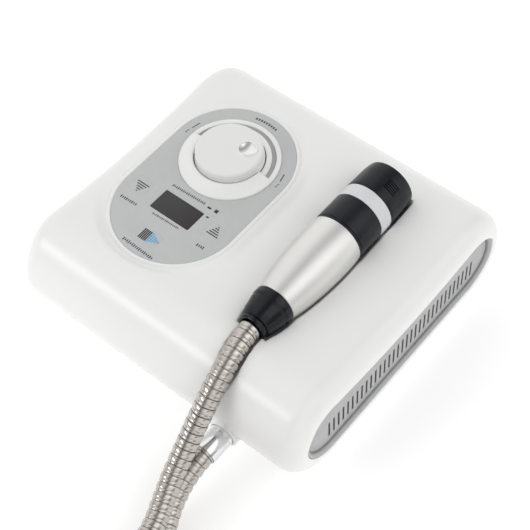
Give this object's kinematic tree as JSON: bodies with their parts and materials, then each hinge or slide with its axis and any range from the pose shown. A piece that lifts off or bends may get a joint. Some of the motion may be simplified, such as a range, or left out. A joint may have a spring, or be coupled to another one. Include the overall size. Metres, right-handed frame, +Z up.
{
  "type": "corded handpiece therapy unit",
  "caption": "Desktop therapy unit with a dished glossy case, membrane panel and dial, vented sides, and a corded handpiece lying in a moulded cradle.",
  "frame": {"origin": "on the table under the middle of the casing, measured without the hose", "axes": "+X to the right seen from the front, +Y to the back, +Z up; the hose leaves towards -Y"},
  "size_m": [0.2997, 0.4771, 0.0976],
  "materials": {
    "white_gloss": "polished moulded plastic",
    "grey_panel": "fine matte",
    "membrane": "satin film",
    "smoked_lens": "polished",
    "black_plastic": "satin",
    "dark_plastic": "matte",
    "satin_metal": "satin anodised",
    "chrome": "polished",
    "steel": "drawn",
    "rubber": "matte",
    "frosted": "frosted",
    "board": "solder mask",
    "hose": "interlocked strip"
  },
  "bodies": {
    "housing": {"top_shell": "white_gloss", "base_shell": "white_gloss", "case_screw_1": "steel", "case_screw_2": "steel", "case_screw_3": "steel", "case_screw_4": "steel", "foot_1": "rubber", "foot_2": "rubber", "foot_3": "rubber", "foot_4": "rubber", "vent_panel_right": "grey_panel", "vent_panel_left": "grey_panel", "membrane_panel": "membrane", "display_window": "smoked_lens", "display_module": "dark_plastic", "key_switch_down": "black_plastic", "key_switch_up": "black_plastic", "key_switch_start": "black_plastic", "key_switch_pulse": "black_plastic", "control_board": "board", "dial_bezel": "white_gloss", "scale_light_guide": "smoked_lens", "dial_potentiometer": "steel", "power_supply": "board", "fan_frame": "black_plastic", "power_inlet": "black_plastic", "switch_housing": "black_plastic", "socket_flange": "white_gloss", "socket_nut": "steel", "hose_ferrule": "chrome", "hose_run_handpiece": "hose", "hose_run_socket": "hose", "hose_coil": "hose"},
    "dial": {"dial_knob": "white_gloss", "dial_shaft": "steel"},
    "key_down": {"key_down": "membrane"},
    "key_up": {"key_up": "membrane"},
    "key_start": {"key_start": "membrane"},
    "key_pulse": {"key_pulse": "membrane"},
    "fan_rotor": {"fan_rotor": "dark_plastic"},
    "fuse_drawer": {"fuse_drawer": "black_plastic", "fuse": "frosted"},
    "rocker": {"rocker": "dark_plastic"},
    "handpiece": {"handpiece_cap": "black_plastic", "handpiece_barrel": "satin_metal", "handpiece_rim": "black_plastic", "handpiece_band": "black_plastic", "light_ring": "frosted", "head_shell": "black_plastic", "treatment_plate": "chrome", "cooling_module": "frosted", "heat_sink": "steel", "handpiece_fan_frame": "black_plastic", "handpiece_board": "board"},
    "handpiece_fan_rotor": {"handpiece_fan_rotor": "dark_plastic"}
  },
  "joints": [
    {"name": "dial_turn", "type": "hinge", "parent": "housing", "child": "dial", "pos_m": [-0.048, 0.0272, 0.08], "axis": [0, 0, 1], "range_deg": [-24, 130]},
    {"name": "key_down_press", "type": "slide", "parent": "housing", "child": "key_down", "axis": [0, 0, -1], "range_m": [0, 0.0003], "stiffness_N_per_m": 4000, "springref_m": -0.00008},
    {"name": "key_up_press", "type": "slide", "parent": "housing", "child": "key_up", "axis": [0, 0, -1], "range_m": [0, 0.0003], "stiffness_N_per_m": 4000, "springref_m": -0.00008},
    {"name": "key_start_press", "type": "slide", "parent": "housing", "child": "key_start", "axis": [0, 0, -1], "range_m": [0, 0.0003], "stiffness_N_per_m": 4000, "springref_m": -0.00008},
    {"name": "key_pulse_press", "type": "slide", "parent": "housing", "child": "key_pulse", "axis": [0, 0, -1], "range_m": [0, 0.0003], "stiffness_N_per_m": 4000, "springref_m": -0.00008},
    {"name": "fan_spin", "type": "hinge", "parent": "housing", "child": "fan_rotor", "pos_m": [0.094, 0.008, 0.033], "axis": [1, 0, 0], "continuous": true},
    {"name": "fuse_drawer_pull", "type": "slide", "parent": "housing", "child": "fuse_drawer", "axis": [0, 1, 0], "range_m": [0, 0.024]},
    {"name": "rocker_tilt", "type": "hinge", "parent": "housing", "child": "rocker", "pos_m": [-0.02, 0.102, 0.036], "axis": [1, 0, 0], "range_deg": [0, 14]},
    {"name": "handpiece_lift", "type": "slide", "parent": "housing", "child": "handpiece", "axis": [0, 0, 1], "range_m": [0, 0.12]},
    {"name": "handpiece_fan_spin", "type": "hinge", "parent": "handpiece", "child": "handpiece_fan_rotor", "pos_m": [0.0474, 0.032, 0.079], "axis": [0, 1, 0], "continuous": true}
  ]
}
